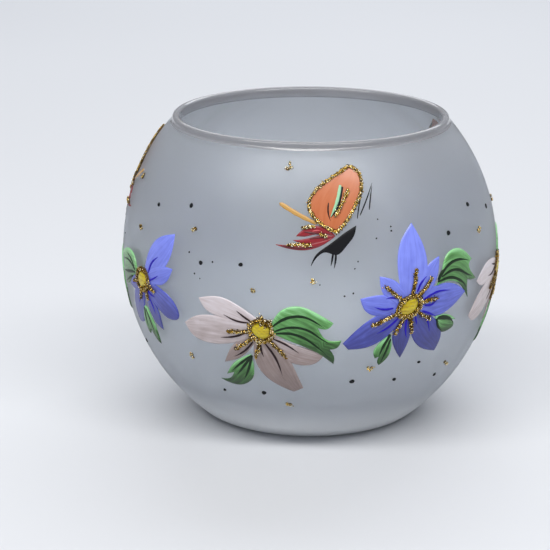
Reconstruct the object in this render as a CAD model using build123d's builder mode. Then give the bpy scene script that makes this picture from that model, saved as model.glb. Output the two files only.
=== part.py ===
"""Frosted glass bubble bowl with hand-painted flowers and butterflies, in millimetres.

The bowl is one blown shell. Everything painted on it is a thin raised film that lies on the
outer surface: a prism of the brush outline, cut down to a skin of the bowl's own profile.
Where two colours overlap, the upper one cuts the lower one, so no two films share any space.
"""
from build123d import *
from math import cos, radians, sin, sqrt
import os

os.makedirs("parts", exist_ok=True)

# ---------------------------------------------------------------- bowl
BOWL_RADIUS = 50.0        # outside, at the belly
BELLY_HEIGHT = 43.6       # height of the widest point
SHOULDER_ARC = 53.5       # profile radius above the belly
LOWER_ARC = 55.25         # profile radius below the belly
WALL = 2.3
BASE_THICKNESS = 4.0
HEEL_FILLET = 5.0         # outside corner between base and wall
FLOOR_FILLET = 8.0        # inside corner between floor and wall
PUNT_RADIUS = 20.0        # shallow hollow under the base
PUNT_DEPTH = 0.8
PUNT_SLOPE = 3.0

LIP_RADIUS = 36.5         # outside of the short collar
LIP_WALL = 1.95
LIP_TOP = 80.5            # overall height
NECK_FILLET = 0.8

# ---------------------------------------------------------------- paint films
PETAL_FILM = 0.20
LEAF_FILM = 0.26
WING_FILM = 0.22
LINE_FILM = 0.30
GLITTER_BEAD = 0.60
CENTRE_DAB = 0.85
DOT_DAB = 0.35
CUTTER_REACH = 9.0        # a brush outline is cut this far each side of its tangent plane
DOT_REACH = 1.0           # and a dot's this far
SKIN_BOTTOM = 6.0         # the paint lies between this height and SKIN_TOP, a radius
SKIN_TOP = 38.0
GLITTER_STROKE = 0.85     # width of a line of glitter glue
CENTRE_RADIUS = 2.5
RING_WIDTH = 1.2          # glitter ring round the yellow centre
MINT_WIDTH = 0.7
OCHRE_WIDTH = 1.0
LEG_WIDTH = 0.45
ANTENNA_WIDTH = 0.32
BLACK_DOT_RADIUS = 0.6
GLITTER_DOT_RADIUS = 0.9

# An outline is a list of smooth runs that meet at sharp corners. Each run starts where the
# one before it ended, and a straight line closes the last. Coordinates are on the tangent
# plane at the middle of the motif: x round the bowl, y up it.
BLUE_STAR = {
    "petals": [
        [[(-2.0, 2.5), (-3.2, 9.0), (-1.9, 16.2), (2.0, 20.4)], [(4.8, 14.6), (5.6, 9.0), (3.0, 1.5)]],
        [[(2.5, 3.0), (6.2, 10.0), (9.6, 11.3)], [(9.0, 7.0), (5.0, 1.0)]],
        [[(3.0, 2.5), (10.0, 4.2), (15.5, 2.8), (19.4, 0.0)], [(15.0, -2.6), (9.5, -4.2), (3.0, -2.5)]],
        [[(3.5, -1.5), (8.5, -4.8), (11.6, -10.5), (10.3, -14.5)], [(5.2, -12.4), (1.5, -8.0), (0.5, -2.5)]],
        [[(1.0, -2.5), (1.2, -8.0), (-0.7, -14.3)], [(-2.9, -11.2), (-4.0, -6.0), (-1.5, -2.5)]],
        [[(-2.0, 0.5), (-8.5, -1.2), (-13.2, -4.4), (-16.7, -8.5)],
         [(-15.1, -10.3)], [(-10.6, -10.0), (-6.0, -7.7), (-1.0, -2.5)]],
        [[(-2.5, 2.5), (-8.0, 3.9), (-13.2, 3.3)], [(-11.6, -0.2), (-9.0, -1.5), (-2.5, -1.8)]],
        [[(-1.0, 3.5), (-4.0, 7.1), (-8.2, 8.6)], [(-7.6, 4.6), (-3.0, 0.5)]],
    ],
    "leaves": [
        [[(8.2, 3.9), (9.8, 6.5), (11.9, 11.0), (15.3, 12.0), (19.2, 10.4), (21.9, 7.8)],
         [(20.6, 7.0), (21.6, 4.6), (23.9, 2.2)], [(21.8, 2.3), (19.9, 3.0)],
         [(19.9, 0.4), (20.7, -2.4)], [(18.8, 0.3), (16.0, 3.1), (12.5, 4.3), (8.2, 3.9)]],
        [[(8.4, -4.2), (12.5, -4.5), (16.6, -7.0)], [(14.9, -6.6)], [(15.7, -7.6), (15.4, -8.9)],
         [(13.6, -9.4), (11.4, -9.3), (9.6, -6.9)]],
        [[(-4.6, -6.7), (-7.3, -8.9), (-8.6, -11.2), (-7.9, -13.4)], [(-6.9, -13.0)],
         [(-7.0, -14.7), (-6.4, -15.6)], [(-4.4, -13.4), (-3.8, -10.0)]],
    ],
    "rays": [(1.9, 9.2), (6.8, 6.5), (8.5, 0.8), (6.5, -4.3), (1.2, -7.0), (-3.6, -6.9), (-10.1, -3.9),
             (-6.8, 5.8)],
}

BLUE_BELL = {
    "petals": [
        [[(0.5, 2.0), (1.9, 6.8), (5.0, 11.5), (12.0, 14.4)], [(12.1, 10.8), (10.7, 6.6), (3.0, 1.0)]],
        [[(2.0, 2.5), (7.4, 5.4), (12.8, 5.6)], [(11.0, 2.2), (3.0, -0.5)]],
        [[(2.5, 0.5), (9.4, -0.8), (13.6, -3.6), (14.3, -6.8), (11.4, -8.2), (6.5, -6.4), (1.5, -2.5)]],
        [[(2.0, -2.0), (6.2, -6.5), (6.9, -12.2)], [(4.0, -11.0), (1.2, -5.5), (0.2, -2.5)]],
        [[(0.5, -2.5), (-0.9, -8.6), (-3.6, -12.6), (-7.0, -13.2), (-7.9, -9.6), (-5.5, -3.5), (-2.0, 0.5)]],
        [[(-0.5, -2.2), (-5.4, -4.2), (-9.6, -3.6)], [(-7.4, -1.2), (-2.0, 1.2)]],
    ],
    "leaves": [
        [[(-3.2, 1.4), (-5.6, 4.8), (-10.6, 5.6), (-17.2, 3.2)], [(-13.6, 1.6)],
         [(-15.4, -0.4), (-18.4, -2.0)], [(-13.8, -2.4)], [(-13.9, -3.8), (-14.8, -5.2)],
         [(-11.2, -4.0), (-7.0, -1.4)]],
        [[(-0.9, -7.2), (-2.3, -10.6), (-1.5, -15.6)], [(0.3, -13.6)], [(1.4, -15.6), (3.3, -17.2)],
         [(3.4, -13.0), (0.8, -7.4)]],
    ],
    "rays": [(5.8, -1.9), (2.6, -4.9), (-1.8, -5.6), (-5.4, -1.6)],
}

WHITE_BLOSSOM = {
    "petals": [
        [[(0.0, 2.5), (-5.0, 5.6), (-11.0, 7.5), (-16.9, 6.0)], [(-15.0, 3.5), (-8.0, 1.7), (-2.0, -0.5)]],
        [[(-2.0, 1.5), (-12.0, 2.3), (-18.0, 0.8), (-21.3, -1.9)],
         [(-19.2, -4.8), (-13.8, -5.9), (-7.5, -4.5), (-1.5, -2.0)]],
        [[(-2.5, -1.0), (-7.6, -5.0), (-10.5, -10.8)], [(-6.6, -9.0), (-1.5, -3.5)]],
        [[(-1.5, -2.0), (-2.3, -7.5), (0.6, -14.0), (6.9, -18.3)],
         [(9.4, -17.0)], [(7.9, -11.2), (5.0, -4.5), (2.0, -1.5)]],
        [[(2.0, -1.0), (8.5, -3.7), (13.2, -5.6), (15.1, -6.9)], [(13.2, -9.0), (8.3, -9.4), (2.0, -4.0)]],
        [[(2.0, 1.5), (7.4, 3.4), (10.6, 2.4), (13.2, 0.4)], [(9.8, -1.6), (5.5, -2.0), (2.0, -1.5)]],
    ],
    "leaves": [
        [[(2.6, 2.0), (5.2, 5.7), (9.0, 6.8), (13.6, 5.0), (17.7, 2.0)], [(16.2, 0.5), (14.0, 0.9)],
         [(16.0, -2.4), (19.4, -2.9)], [(18.2, -5.0), (16.6, -5.3)], [(17.5, -7.6), (17.2, -9.7)],
         [(13.9, -6.3), (9.5, -3.7), (3.2, -0.9)]],
        [[(-3.0, -7.0), (-7.9, -10.5), (-10.3, -14.6)], [(-8.2, -13.6)], [(-9.6, -15.8), (-12.3, -16.5)],
         [(-7.0, -17.5), (-3.4, -14.9), (-2.5, -10.0)]],
    ],
    "rays": [(-8.9, -1.3), (-6.9, -5.9), (-1.7, -7.8), (5.8, -7.0), (2.6, 3.0), (0.2, 3.9)],
}

WING_RIGHT = [(0.4, 0.5), (2.9, 3.2), (5.6, 7.6), (7.1, 13.2), (5.9, 16.0), (4.0, 16.7)]
WING_LEFT = [(0.0, 14.1), (-4.2, 11.0), (-6.1, 7.2), (-3.8, 3.0), (0.4, 0.5)]
UPPER_WING = [WING_RIGHT, WING_LEFT]
LOWER_WING = [[(0.2, -0.4), (-1.8, 1.5), (-4.2, 2.3), (-7.0, 1.9), (-9.6, -0.1)], [(-7.4, -0.3)],
              [(-8.8, -0.9), (-10.4, -1.0)], [(-11.0, -1.9)], [(-15.2, -1.7)],
              [(-12.0, -2.9), (-8.2, -3.6), (-4.0, -2.9), (0.2, -0.4)]]
BODY = [[(5.4, 2.2), (4.9, 0.0), (2.6, -3.1), (0.2, -5.0), (-2.6, -4.3), (-4.4, -5.3), (-6.4, -8.3)],
        [(-4.9, -4.9), (-1.6, -2.4), (2.2, 0.3), (5.4, 2.2)]]
LEGS = [[(-0.6, -4.4), (-1.2, -7.4)], [(0.1, -4.4), (-0.4, -8.0)]]
ANTENNAE = [[(7.7, 11.6), (6.4, 7.6), (5.7, 3.9)], [(9.9, 12.4), (8.4, 8.4), (6.6, 4.8)],
            [(9.8, 11.6), (8.8, 6.2)]]
WING_STRIPE = [(2.3, 11.6), (1.6, 8.8), (0.4, 5.8)]
MINT_STROKE = [(1.8, 12.0), (1.0, 8.6), (-0.8, 4.6)]
OCHRE_STROKE = [(-12.8, 8.0), (-8.6, 5.1), (-4.6, 2.9)]
WING_GLITTER = [(3.6, 10.9), (2.5, 8.5), (0.2, 4.4)]
LOWER_GLITTER = [[(-8.0, 2.0), (-5.0, 2.1)], [(-3.6, 0.2), (-2.1, -0.6)], [(-11.4, -2.1), (-6.0, -2.4)]]

# ---------------------------------------------------------------- where each motif lies
# name: pattern, angle round the bowl (0 faces -Y, positive towards +X), height, tilt, mirrored
FLOWERS = {
    "blue_flower_1": (BLUE_STAR, 29.8, 40.7, 0.0, False),
    "white_flower_2": (WHITE_BLOSSOM, 80.0, 41.5, 18.0, False),
    "blue_flower_3": (BLUE_BELL, 126.0, 41.0, -3.0, False),
    "white_flower_4": (WHITE_BLOSSOM, 170.5, 38.5, 3.0, False),
    "blue_flower_5": (BLUE_BELL, -145.0, 41.0, 4.0, False),
    "white_flower_6": (WHITE_BLOSSOM, -101.5, 37.5, 0.0, False),
    "blue_flower_7": (BLUE_BELL, -58.4, 42.0, 0.0, False),
    "white_flower_8": (WHITE_BLOSSOM, -13.8, 35.6, 0.0, False),
}
BUTTERFLIES = {
    "butterfly_1": (7.5, 60.0, 0.0, False),
    "butterfly_2": (120.0, 61.5, -4.0, True),
    "butterfly_3": (-94.0, 60.0, 0.0, True),
}
# angle round the bowl, height
BLACK_DOTS = [
    (-55, 62), (-40, 64), (-33, 51), (-20, 52), (-30, 16), (-15, 17), (14, 21), (29, 20), (37, 24),
    (48, 18), (46, 57), (59, 62), (73, 59), (98, 62), (104, 15), (107, 58), (138, 19), (152, 16),
    (166, 63), (-176, 57), (-162, 19), (-152, 62), (-135, 58), (-129, 20), (-122, 63), (-108, 15),
    (-84, 17), (-70, 22),
]
GLITTER_DOTS = [
    (-37, 59), (-16, 46), (1, 49), (-7, 75), (-39, 25), (-7, 14), (19.5, 25), (62.5, 55), (52, 21),
    (-62, 55), (90, 58), (113, 22), (158, 21), (170, 53), (-167, 25), (-140, 60), (-117, 24), (-74, 66),
]


def surface_point(height):
    """Radius of the outer surface at a height, and the outward normal there."""
    rise = height - BELLY_HEIGHT
    arc = SHOULDER_ARC if rise >= 0 else LOWER_ARC
    across = sqrt(arc**2 - rise**2)
    return BOWL_RADIUS - arc + across, across / arc, rise / arc


def tangent_plane(angle, height, tilt=0.0):
    """Plane on the outer surface: x round the bowl, y up it, z outwards."""
    radius, normal_out, normal_up = surface_point(height)
    round_x, round_y = sin(radians(angle)), -cos(radians(angle))
    plane = Plane(
        origin=(radius * round_x, radius * round_y, height),
        x_dir=(-round_y, round_x, 0),
        z_dir=(normal_out * round_x, normal_out * round_y, normal_up),
    )
    return plane.rotated((0, 0, tilt))


# ---------------------------------------------------------------- glass bowl
def shoulder_height(radius, wall=0.0):
    """Height of the shoulder, or of its inner face, at a radius."""
    return BELLY_HEIGHT + sqrt((SHOULDER_ARC - wall) ** 2 - (radius - BOWL_RADIUS + SHOULDER_ARC) ** 2)


def lower_radius(height, wall=0.0):
    """Radius of the lower body, or of its inner face, at a height."""
    return BOWL_RADIUS - LOWER_ARC + sqrt((LOWER_ARC - wall) ** 2 - (height - BELLY_HEIGHT) ** 2)


mouth_radius = LIP_RADIUS - LIP_WALL
bead_height = LIP_TOP - LIP_WALL / 2
heel = (lower_radius(0), 0)
neck = (LIP_RADIUS, shoulder_height(LIP_RADIUS))
throat = (mouth_radius, shoulder_height(mouth_radius, WALL))
floor_edge = (lower_radius(BASE_THICKNESS, WALL), BASE_THICKNESS)


def body_curves(bottom, top, wall=0.0):
    """Lower and shoulder arcs of the body, or of its inner face, between two points of it."""
    belly = (BOWL_RADIUS - wall, BELLY_HEIGHT)
    low = (bottom[1] + BELLY_HEIGHT) / 2
    wide = (belly[0] + top[0]) / 2
    ThreePointArc(bottom, (lower_radius(low, wall), low), belly)
    ThreePointArc(belly, (wide, shoulder_height(wide, wall)), top)


with BuildPart() as glass_bowl:
    with BuildSketch(Plane.XZ) as section:
        with BuildLine():
            Polyline((0, PUNT_DEPTH), (PUNT_RADIUS, PUNT_DEPTH), (PUNT_RADIUS + PUNT_SLOPE, 0), heel)
            body_curves(heel, neck)
            Line(neck, (LIP_RADIUS, bead_height))
            lip_crest = (LIP_RADIUS - LIP_WALL / 2, LIP_TOP)
            ThreePointArc((LIP_RADIUS, bead_height), lip_crest, (mouth_radius, bead_height))
            Line((mouth_radius, bead_height), throat)
            body_curves(floor_edge, throat, WALL)
            Polyline(floor_edge, (0, BASE_THICKNESS), (0, PUNT_DEPTH))
        make_face()
        rounded = {heel: HEEL_FILLET, floor_edge: FLOOR_FILLET, neck: NECK_FILLET, throat: NECK_FILLET}
        for corner, radius in rounded.items():
            fillet(section.vertices().sort_by_distance((*corner, 0))[0], radius)
    revolve(axis=Axis.Z)
glass_bowl.part.label = "glass_bowl"
export_step(glass_bowl.part, "parts/glass_bowl.step")


# ---------------------------------------------------------------- painted films
def skin(thickness):
    """Solid skin of one thickness on the outer surface, from the heel to the neck."""
    with BuildPart() as layer:
        with BuildSketch(Plane.XZ):
            with BuildLine():
                bottom = (lower_radius(SKIN_BOTTOM), SKIN_BOTTOM)
                top = (SKIN_TOP, shoulder_height(SKIN_TOP))
                outer_bottom = (lower_radius(SKIN_BOTTOM, -thickness), SKIN_BOTTOM)
                outer_top = (SKIN_TOP, shoulder_height(SKIN_TOP, -thickness))
                body_curves(bottom, top)
                Line(top, outer_top)
                body_curves(outer_bottom, outer_top, -thickness)
                Line(outer_bottom, bottom)
            make_face()
        revolve(axis=Axis.Z)
    return layer.part


def draw_outlines(outlines, side):
    """Sketch closed outlines made of smooth runs between sharp corners."""
    for runs in outlines:
        with BuildLine() as outline:
            corner = None
            for run in runs:
                points = [(side * x, y) for x, y in run]
                if corner is not None:
                    points.insert(0, corner)
                Spline(*points) if len(points) > 2 else Line(*points)
                corner = points[-1]
            first = (side * runs[0][0][0], runs[0][0][1])
            if corner != first:
                Line(corner, first)
        make_face(outline.edges())


def draw_strokes(strokes, side, width):
    """Sketch lines of one width with the given bends."""
    for stroke in strokes:
        points = [(side * x, y) for x, y in stroke]
        with BuildLine() as line:
            Spline(*points) if len(points) > 2 else Line(*points)
        trace(line.line, line_width=width)


def film(name, outline, thickness):
    """Write one film: the skin of the bowl inside a sketch on its tangent plane."""
    cover = skin(thickness)
    with BuildPart() as layer:
        extrude(outline.sketch, amount=CUTTER_REACH, both=True)
        add(cover, mode=Mode.INTERSECT)
    layer.part.label = name
    export_step(layer.part, f"parts/{name}.step")


def paint_flower(name, pattern, angle, height, tilt, mirrored):
    """Yellow centre, glitter, leaves and petals, each cut by those painted over it."""
    plane = tangent_plane(angle, height, tilt)
    side = -1 if mirrored else 1
    with BuildSketch(plane) as centre:
        Circle(CENTRE_RADIUS)
    with BuildSketch(plane) as glitter:
        draw_strokes([[(0, 0), tip] for tip in pattern["rays"]], side, GLITTER_STROKE)
        Circle(CENTRE_RADIUS + RING_WIDTH)
        add(centre.sketch_local, mode=Mode.SUBTRACT)
    with BuildSketch(plane) as leaves:
        draw_outlines(pattern["leaves"], side)
        add(glitter.sketch_local, mode=Mode.SUBTRACT)
    with BuildSketch(plane) as petals:
        draw_outlines(pattern["petals"], side)
        for upper in (leaves, glitter, centre):
            add(upper.sketch_local, mode=Mode.SUBTRACT)
    film(f"{name}_centre", centre, CENTRE_DAB)
    film(f"{name}_glitter", glitter, GLITTER_BEAD)
    film(f"{name}_leaves", leaves, LEAF_FILM)
    film(f"{name}_petals", petals, PETAL_FILM)


for flower, place in FLOWERS.items():
    paint_flower(flower, *place)


def paint_butterfly(name, angle, height, tilt, mirrored):
    """Wings, body, glitter and accent strokes, each cut by those painted over it."""
    plane = tangent_plane(angle, height, tilt)
    side = -1 if mirrored else 1
    with BuildSketch(plane) as glitter:
        wing_edges = [WING_RIGHT, [WING_RIGHT[-1], *WING_LEFT]]
        draw_strokes([*wing_edges, WING_GLITTER, *LOWER_GLITTER], side, GLITTER_STROKE)
    with BuildSketch(plane) as mint:
        draw_strokes([MINT_STROKE], side, MINT_WIDTH)
    with BuildSketch(plane) as body:
        draw_outlines([BODY], side)
        draw_strokes(LEGS, side, LEG_WIDTH)
        draw_strokes(ANTENNAE, side, ANTENNA_WIDTH)
        draw_strokes([WING_STRIPE], side, MINT_WIDTH)
    with BuildSketch(plane) as upper_wing:
        draw_outlines([UPPER_WING], side)
    with BuildSketch(plane) as lower_wing:
        draw_outlines([LOWER_WING], side)
    with BuildSketch(plane) as ochre:
        draw_strokes([OCHRE_STROKE], side, OCHRE_WIDTH)
    layers = [
        ("glitter", glitter, GLITTER_BEAD),
        ("mint_stroke", mint, LINE_FILM),
        ("body", body, LINE_FILM),
        ("lower_wing", lower_wing, WING_FILM),
        ("upper_wing", upper_wing, WING_FILM),
        ("ochre_stroke", ochre, LEAF_FILM),
    ]
    for count, (part_name, outline, thickness) in enumerate(layers):
        with BuildSketch(plane) as visible:
            add(outline.sketch_local)
            for _, upper, _ in layers[:count]:
                add(upper.sketch_local, mode=Mode.SUBTRACT)
        film(f"{name}_{part_name}", visible, thickness)


def paint_dots(name, dots, radius, thickness):
    """Round dabs of one size, each given by its angle round the bowl and its height."""
    cover = skin(thickness)
    with BuildPart() as layer:
        for angle, height in dots:
            with BuildSketch(tangent_plane(angle, height)):
                Circle(radius)
            extrude(amount=DOT_REACH, both=True)
        add(cover, mode=Mode.INTERSECT)
    layer.part.label = name
    export_step(layer.part, f"parts/{name}.step")


for butterfly, place in BUTTERFLIES.items():
    paint_butterfly(butterfly, *place)
paint_dots("black_dots", BLACK_DOTS, BLACK_DOT_RADIUS, DOT_DAB)
paint_dots("glitter_dots", GLITTER_DOTS, GLITTER_DOT_RADIUS, GLITTER_BEAD)
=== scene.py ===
"""Frosted glass bubble bowl, painted by hand with flowers, butterflies, dots and gold glitter.

Lengths are millimetres until a mesh is made, and angles are degrees. A motif is drawn on the
plane that touches the bowl at its middle: x runs round the bowl, y up it.
"""

import math

import bpy
import numpy as np
from mathutils import Matrix, Vector
from mathutils.geometry import delaunay_2d_cdt


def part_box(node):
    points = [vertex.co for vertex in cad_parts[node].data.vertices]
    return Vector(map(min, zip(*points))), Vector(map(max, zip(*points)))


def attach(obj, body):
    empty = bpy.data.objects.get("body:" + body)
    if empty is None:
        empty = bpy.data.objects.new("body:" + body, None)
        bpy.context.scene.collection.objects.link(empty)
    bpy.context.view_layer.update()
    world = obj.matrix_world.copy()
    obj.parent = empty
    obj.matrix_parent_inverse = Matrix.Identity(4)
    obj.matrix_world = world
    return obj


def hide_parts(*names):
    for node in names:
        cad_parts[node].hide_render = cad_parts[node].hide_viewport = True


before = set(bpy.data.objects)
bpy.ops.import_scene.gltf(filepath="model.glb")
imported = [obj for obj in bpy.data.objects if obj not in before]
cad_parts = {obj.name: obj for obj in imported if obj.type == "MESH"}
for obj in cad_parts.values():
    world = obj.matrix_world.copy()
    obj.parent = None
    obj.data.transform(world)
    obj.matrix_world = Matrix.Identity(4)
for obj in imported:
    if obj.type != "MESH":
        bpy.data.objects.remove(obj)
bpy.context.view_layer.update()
scene = bpy.context.scene
rng = np.random.default_rng(27)

MM = 0.001                # one millimetre in scene units

# ---------------- the bowl's shape
bowl_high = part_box("glass_bowl")[1]
BOWL_RADIUS = round(bowl_high.x / MM, 1)
LIP_TOP = bowl_high.z / MM
BELLY_HEIGHT = 43.6       # where the bowl is widest
SHOULDER_ARC = 53.5       # profile radius above the belly
LOWER_ARC = 55.25         # profile radius below the belly
WALL = 2.3
BASE_THICKNESS = 4.0
HEEL_FILLET = 5.0
FLOOR_FILLET = 8.0
PUNT_RADIUS = 20.0        # shallow hollow under the base
PUNT_DEPTH = 0.8
PUNT_SLOPE = 3.0
LIP_RADIUS = 36.5         # outside of the short collar
LIP_WALL = 1.95
NECK_FILLET = 0.8
UNETCHED = 0.8            # the etching stops this far below the corner of the collar
ROUND_STEPS = 360         # faces round the bowl
COARSE_STEP = 1.2         # lengths of the faces along the profile
MIDDLE_STEP = 0.8
SHOULDER_STEP = 0.5
LIP_STEP = 0.15
POLE_GAP = 0.4            # the flat middles of the base start this far from the axis
FROSTED, GLOSSY, POLISHED = range(3)

# ---------------- paint relief
SUNK = 0.03               # the underside of the paint lies this far inside the glass
PETAL_RISE = 0.16
LEAF_RISE = 0.22
WING_RISE = 0.18
LINE_RISE = 0.14
VEIN_RISE = 0.08
STACK = 0.012             # each stroke lies this much higher than the one before it
OUTLINE_STEP = 0.4        # length of the edges round a stroke
PAINT_GRID = 0.5          # size of the faces on top of a stroke, and underneath it
UNDER_GRID = 1.8
EDGE_ROWS = (0.1, 0.26, 0.5)
EDGE_ROUND = 0.16         # how soon a stroke reaches its full thickness
RIM_PLACE = 0.35          # the proud rim of a stroke: where, how wide, how high
RIM_WIDTH = 0.22
RIM_SHARE = 0.3
BRISTLE_SHARE = 0.07      # height of the marks that the bristles leave
SEED_RANGE = 90
GLITTER_WIDTH = 0.85
GLUE_RISE = 0.34
CENTRE_RISE = 0.8
RING_GAP = 0.45           # from the yellow middle to the line of its glitter ring
FLAKE_SIZE = 0.19         # radius of one hexagonal glitter flake
FLAKE_THICKNESS = 0.04
FLAKE_TILT = 0.42
FLAKES_PER_AREA = 26      # in one square millimetre of a glitter line
BLACK_DOT_RADIUS = 0.6
BLACK_DOT_RISE = 0.26
SPECK_RISE = 0.12
GLITTER_DOT_RADIUS = 0.9
DOT_FLAKES = 14           # flakes on each lobe of a glitter dot

# ---------------- camera, floor and light
CAMERA_SENSOR = 36
CAMERA_LENS = 127.9
CAMERA_DISTANCE = 526.0   # from the middle of the belly
CAMERA_RISE = 15.71       # degrees above level
CAMERA_YAW = 1.006        # the bowl stands right of the picture's middle
CAMERA_PITCH = 0.829      # and above it
CAMERA_ROLL = 0.475
CAMERA_CLIP = 0.05
FLOOR_HALF = 4000


def add_camera():
    rise = math.radians(CAMERA_RISE)
    place = Vector((0, -CAMERA_DISTANCE * math.cos(rise), BELLY_HEIGHT + CAMERA_DISTANCE * math.sin(rise)))
    level = Matrix.Rotation(math.pi / 2 - rise, 4, "X")
    aim = (
        Matrix.Rotation(math.radians(CAMERA_YAW), 4, "Y")
        @ Matrix.Rotation(math.radians(-CAMERA_PITCH), 4, "X")
        @ Matrix.Rotation(math.radians(CAMERA_ROLL), 4, "Z")
    )
    camera = bpy.data.objects.new("camera", bpy.data.cameras.new("camera"))
    camera.data.sensor_width = CAMERA_SENSOR
    camera.data.lens = CAMERA_LENS
    camera.data.clip_start = CAMERA_CLIP
    camera.matrix_world = Matrix.Translation(place * MM) @ level @ aim
    scene.collection.objects.link(camera)
    scene.camera = camera


def add_softbox(name, azimuth, elevation, distance, size, power, colour):
    """Rectangular area light that faces the bowl. Azimuth 0 is the camera's side, 90 is +X."""
    around, up = math.radians(azimuth), math.radians(elevation)
    direction = Vector((math.sin(around) * math.cos(up), -math.cos(around) * math.cos(up), math.sin(up)))
    light = bpy.data.lights.new(name, "AREA")
    light.shape = "RECTANGLE"
    light.size, light.size_y = size
    light.energy = power
    light.color = colour
    lamp = bpy.data.objects.new(name, light)
    lamp.location = direction * distance + Vector((0, 0, BELLY_HEIGHT * MM))
    lamp.rotation_euler = direction.to_track_quat("Z", "Y").to_euler()
    scene.collection.objects.link(lamp)


def add_world(colour, strength):
    world = bpy.data.worlds.new("soft_studio")
    world.use_nodes = True
    background = world.node_tree.nodes["Background"]
    background.inputs["Color"].default_value = (*colour, 1)
    background.inputs["Strength"].default_value = strength
    scene.world = world


# ---------------- materials
class Shader:
    """A Principled material, built node by node."""

    def __init__(self, name, **constants):
        self.material = bpy.data.materials.new(name)
        self.material.use_nodes = True
        self.tree = self.material.node_tree
        self.principled = self.tree.nodes["Principled BSDF"]
        for socket, value in constants.items():
            self.principled.inputs[socket.replace("_", " ")].default_value = value

    def node(self, kind, settings=None, **sockets):
        made = self.tree.nodes.new(kind)
        for key, value in (settings or {}).items():
            setattr(made, key, value)
        for socket, value in sockets.items():
            self.feed(made, socket.replace("_", " "), value)
        return made

    def feed(self, node, socket, value):
        if isinstance(value, bpy.types.NodeSocket):
            self.tree.links.new(value, node.inputs[socket])
        else:
            node.inputs[socket].default_value = value

    def set(self, socket, value):
        self.feed(self.principled, socket, value)

    def object_place(self):
        return self.node("ShaderNodeTexCoord").outputs["Object"]

    def height_of(self, place):
        return self.node("ShaderNodeSeparateXYZ", Vector=place).outputs["Z"]

    def attribute(self, name, output):
        return self.node("ShaderNodeAttribute", {"attribute_name": name}).outputs[output]

    def noise(self, vector, scale, detail=3.0, stretch=(1, 1, 1)):
        mapped = self.node("ShaderNodeMapping", Vector=vector, Scale=stretch).outputs["Vector"]
        made = self.node("ShaderNodeTexNoise", Vector=mapped, Scale=scale, Detail=detail, Roughness=0.55)
        return made.outputs["Fac"]

    def plus(self, first, second):
        made = self.tree.nodes.new("ShaderNodeMath")
        made.operation = "ADD"
        for socket, value in zip(made.inputs, (first, second)):
            self.tree.links.new(value, socket)
        return made.outputs[0]

    def spread(self, value, low, high, start=0, end=1):
        """Map a value between start and end to the range low to high."""
        ends = {"From_Min": start, "From_Max": end, "To_Min": low, "To_Max": high}
        return self.node("ShaderNodeMapRange", Value=value, **ends).outputs["Result"]

    def ramp(self, value, stops):
        made = self.node("ShaderNodeValToRGB", Fac=value)
        elements = made.color_ramp.elements
        while len(elements) < len(stops):
            elements.new(0.5)
        for element, (place, colour) in zip(elements, stops):
            element.position = place
            element.color = (*colour, 1)
        return made.outputs["Color"]

    def bump(self, height, strength, distance):
        made = self.node("ShaderNodeBump", Height=height, Strength=strength, Distance=distance)
        return made.outputs["Normal"]


def srgb(red, green, blue):
    """Linear colour from 0 to 255 display values."""
    def linear(value):
        value /= 255
        return value / 12.92 if value <= 0.04045 else ((value + 0.055) / 1.055) ** 2.4
    return linear(red), linear(green), linear(blue)


def frosted_glass():
    """Acid-etched outside: mostly even grey, a fine satin grain and faint clouding, milkier at the base; the
    colour is painted lighter at the base as a painted glow, and a little lighter towards the lip as a
    painted highlight.
    """
    shader = Shader("frosted_glass", IOR=1.45)
    place = shader.object_place()
    cloud = shader.noise(place, 38, detail=2)
    grain = shader.noise(place, 5200, detail=2)
    share = shader.spread(shader.height_of(place), 0, 1, end=LIP_TOP * MM)
    share = shader.plus(share, shader.spread(cloud, -0.02, 0.02))
    # Painted light: the colour is lightest at the base, a painted glow for light through the thick base,
    # darkest round the middle, and a little lighter towards the lip, a painted highlight.
    shader.set("Base Color", shader.ramp(share, [
        (0.0, srgb(248, 250, 252)), (0.05, srgb(240, 243, 246)), (0.14, srgb(220, 224, 230)),
        (0.45, srgb(212, 218, 226)), (0.8, srgb(216, 221, 229)), (1.0, srgb(222, 227, 234)),
    ]))
    shader.set("Transmission Weight", shader.spread(share, 0.2, 0.8, 0.04, 0.16))
    shader.set("Roughness", shader.spread(grain, 0.48, 0.56))
    shader.set("Normal", shader.bump(grain, 0.12, 0.00004))
    return shader.material


def glossy_glass():
    """Fire-polished inside of the bowl, with the slow waves of blown glass; milkier at the base."""
    shader = Shader("glossy_glass", IOR=1.48)
    place = shader.object_place()
    wave = shader.noise(place, 45, detail=1)
    shader.set("Transmission Weight", shader.spread(shader.height_of(place), 0.3, 0.85, 6 * MM, 24 * MM))
    shader.set("Base Color", shader.ramp(wave, [(0.3, srgb(228, 232, 236)), (0.7, srgb(238, 241, 244))]))
    shader.set("Roughness", shader.spread(wave, 0.04, 0.10))
    shader.set("Normal", shader.bump(wave, 0.25, 0.0008))
    return shader.material


def polished_lip():
    """The collar and its rounded edge: smooth, greyer glass seen edge on."""
    shader = Shader("polished_lip", IOR=1.48, Transmission_Weight=0.4)
    place = shader.object_place()
    streak = shader.noise(place, 45, detail=1, stretch=(1, 1, 4))
    shader.set("Base Color", shader.ramp(streak, [(0.3, srgb(164, 165, 170)), (0.7, srgb(170, 171, 176))]))
    shader.set("Roughness", shader.spread(streak, 0.07, 0.11))
    return shader.material


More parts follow.
